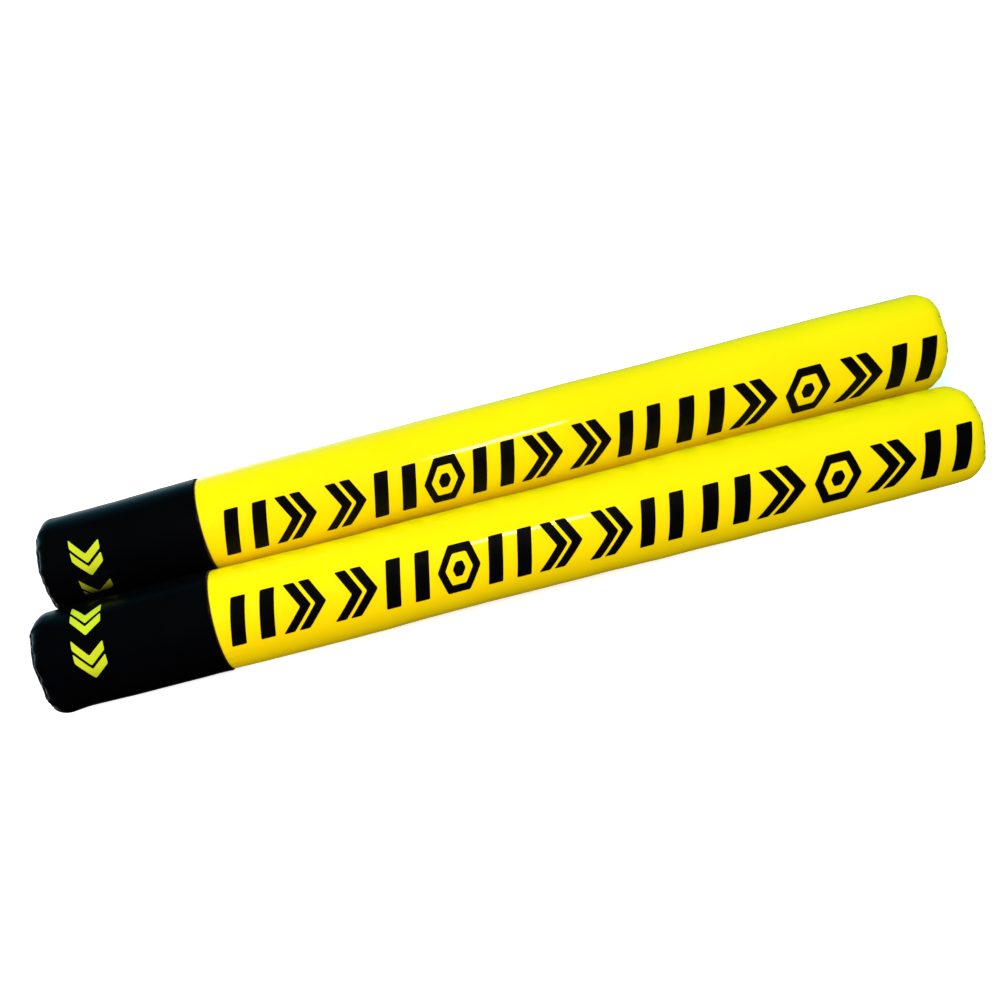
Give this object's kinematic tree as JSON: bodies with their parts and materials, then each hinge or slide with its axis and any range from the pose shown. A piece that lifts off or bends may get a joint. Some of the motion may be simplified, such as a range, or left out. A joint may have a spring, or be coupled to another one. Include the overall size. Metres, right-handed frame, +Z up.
{
  "type": "focus training sticks",
  "caption": "Padded round striking sticks with a glossy striking cover, a plain handle cover, sewn end discs and printed stripe marks, lying side by side.",
  "frame": {"origin": "below the middle of the pair, on the surface that the sticks lie on", "axes": "+X from the handles to the striking ends, along the sticks; +Y from the front stick to the rear one; +Z up"},
  "size_m": [0.6044, 0.1314, 0.0619],
  "materials": {
    "yellow_vinyl": "gloss coated synthetic leather",
    "black_vinyl": "gloss coated synthetic leather",
    "pvc_tube": "extruded rigid PVC",
    "plug_plastic": "moulded polyethylene",
    "firm_foam": "closed-cell foam",
    "soft_foam": "closed-cell foam",
    "yellow_thread": "twisted polyester thread",
    "black_thread": "twisted polyester thread",
    "black_print": "gloss transfer film",
    "yellow_print": "satin transfer film"
  },
  "bodies": {
    "front_stick": {"front_core_tube": "pvc_tube", "front_butt_plug": "plug_plastic", "front_tip_plug": "plug_plastic", "front_inner_foam": "firm_foam", "front_outer_foam": "soft_foam", "front_butt_pad": "soft_foam", "front_tip_pad": "soft_foam", "front_strike_cover": "yellow_vinyl", "front_grip_cover": "black_vinyl", "front_tip_cap": "yellow_vinyl", "front_butt_cap": "black_vinyl", "front_tip_seam": "black_thread", "front_butt_seam": "black_thread", "front_waist_seam": "black_thread", "front_strike_seam": "yellow_thread", "front_grip_seam": "black_thread", "front_strike_marks": "black_print", "front_grip_mark": "yellow_print"},
    "rear_stick": {"rear_core_tube": "pvc_tube", "rear_butt_plug": "plug_plastic", "rear_tip_plug": "plug_plastic", "rear_inner_foam": "firm_foam", "rear_outer_foam": "soft_foam", "rear_butt_pad": "soft_foam", "rear_tip_pad": "soft_foam", "rear_strike_cover": "yellow_vinyl", "rear_grip_cover": "black_vinyl", "rear_tip_cap": "yellow_vinyl", "rear_butt_cap": "black_vinyl", "rear_tip_seam": "black_thread", "rear_butt_seam": "black_thread", "rear_waist_seam": "black_thread", "rear_strike_seam": "yellow_thread", "rear_grip_seam": "black_thread", "rear_strike_marks": "black_print", "rear_grip_mark": "yellow_print"}
  },
  "joints": [
    {"name": "rear_stick_lift", "type": "slide", "parent": "front_stick", "child": "rear_stick", "axis": [0, 0, 1], "range_m": [0, 0.2]}
  ]
}
